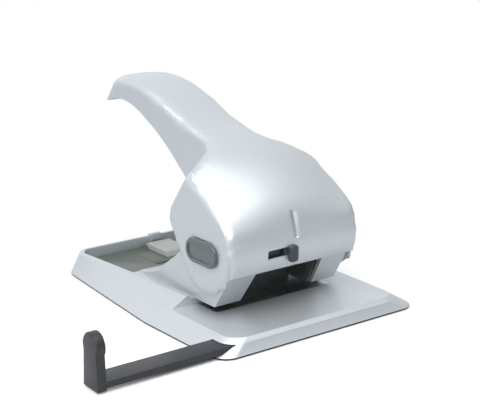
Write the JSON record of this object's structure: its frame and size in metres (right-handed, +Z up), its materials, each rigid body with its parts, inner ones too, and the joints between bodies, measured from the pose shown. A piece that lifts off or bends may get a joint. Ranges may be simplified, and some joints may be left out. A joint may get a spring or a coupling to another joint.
{
  "type": "two-hole lever punch",
  "caption": "Desk hole punch with a hooded press lever, a chip tray base with raised rims and a sliding paper guide.",
  "frame": {"origin": "on the table under the non-slip pad, midway between the two punch pins", "axes": "+Z up, +Y towards the handle and chip tray, +X to the right seen from the front"},
  "size_m": [0.2425, 0.239, 0.1376],
  "materials": {
    "silver_shell": "glossy silver metallic paint on moulded shells",
    "grey_liner": "dark grey-green moulded plastic",
    "pale_hatch": "pale warm grey moulded plastic",
    "bright_steel": "ground steel",
    "dark_steel": "dark plated sheet steel",
    "bronze_bush": "sintered bronze bearing",
    "black_guide": "near-black moulded plastic",
    "black_rubber": "thin non-slip pad",
    "cap_green_grey": "glossy grey-green plastic cap",
    "charcoal_slider": "charcoal moulded plastic"
  },
  "bodies": {
    "base": {"base_shell": "silver_shell", "body_shell": "silver_shell", "tray_liner": "grey_liner", "hatch_catch": "silver_shell", "hatch_pin": "bright_steel", "base_pad": "black_rubber", "die_plate": "bright_steel", "guide_spring": "bright_steel", "punch_frame": "dark_steel", "frame_screws": "bright_steel", "guide_bush_left": "bright_steel", "guide_bush_right": "bright_steel", "pivot_shaft": "bright_steel", "shaft_clips": "bright_steel"},
    "lever": {"lever_cover": "silver_shell", "handle_underplate": "grey_liner", "pivot_bushes": "bronze_bush", "lever_yoke": "dark_steel", "cam_shoes": "bright_steel", "lever_screws": "bright_steel", "pivot_cap_left": "cap_green_grey", "pivot_cap_right": "cap_green_grey", "lock_backplate": "charcoal_slider"},
    "crosshead": {"crosshead": "dark_steel", "punch_pin_left": "bright_steel", "punch_pin_right": "bright_steel", "pin_clips": "bright_steel", "punch_spring_left": "bright_steel", "punch_spring_right": "bright_steel"},
    "lock": {"lock_slider": "charcoal_slider"},
    "guide": {"paper_guide": "black_guide"},
    "hatch": {"chip_hatch": "grey_liner", "hatch_tab": "pale_hatch"}
  },
  "joints": [
    {"name": "lever_press", "type": "hinge", "parent": "base", "child": "lever", "pos_m": [0, -0.003, 0.05], "axis": [-1, 0, 0], "range_deg": [0, 25], "stiffness_Nm_per_rad": 1.2, "springref_deg": -22.92},
    {"name": "crosshead_slide", "type": "slide", "parent": "base", "child": "crosshead", "axis": [0, 0, -1], "range_m": [0, 0.0071], "deforming": ["punch_spring_left", "punch_spring_right"]},
    {"name": "lock_slide", "type": "slide", "parent": "lever", "child": "lock", "axis": [-1, 0, 0], "range_m": [0, 0.0145]},
    {"name": "guide_slide", "type": "slide", "parent": "base", "child": "guide", "axis": [1, 0, 0], "range_m": [-0.02, 0.07]},
    {"name": "hatch_hinge", "type": "hinge", "parent": "base", "child": "hatch", "pos_m": [0, 0.098, 0.0064], "axis": [1, 0, 0], "range_deg": [0, 65]}
  ],
  "couplings": [
    {"joint": "crosshead_slide", "follows": "lever_press", "m_per_rad": 0.01627}
  ]
}
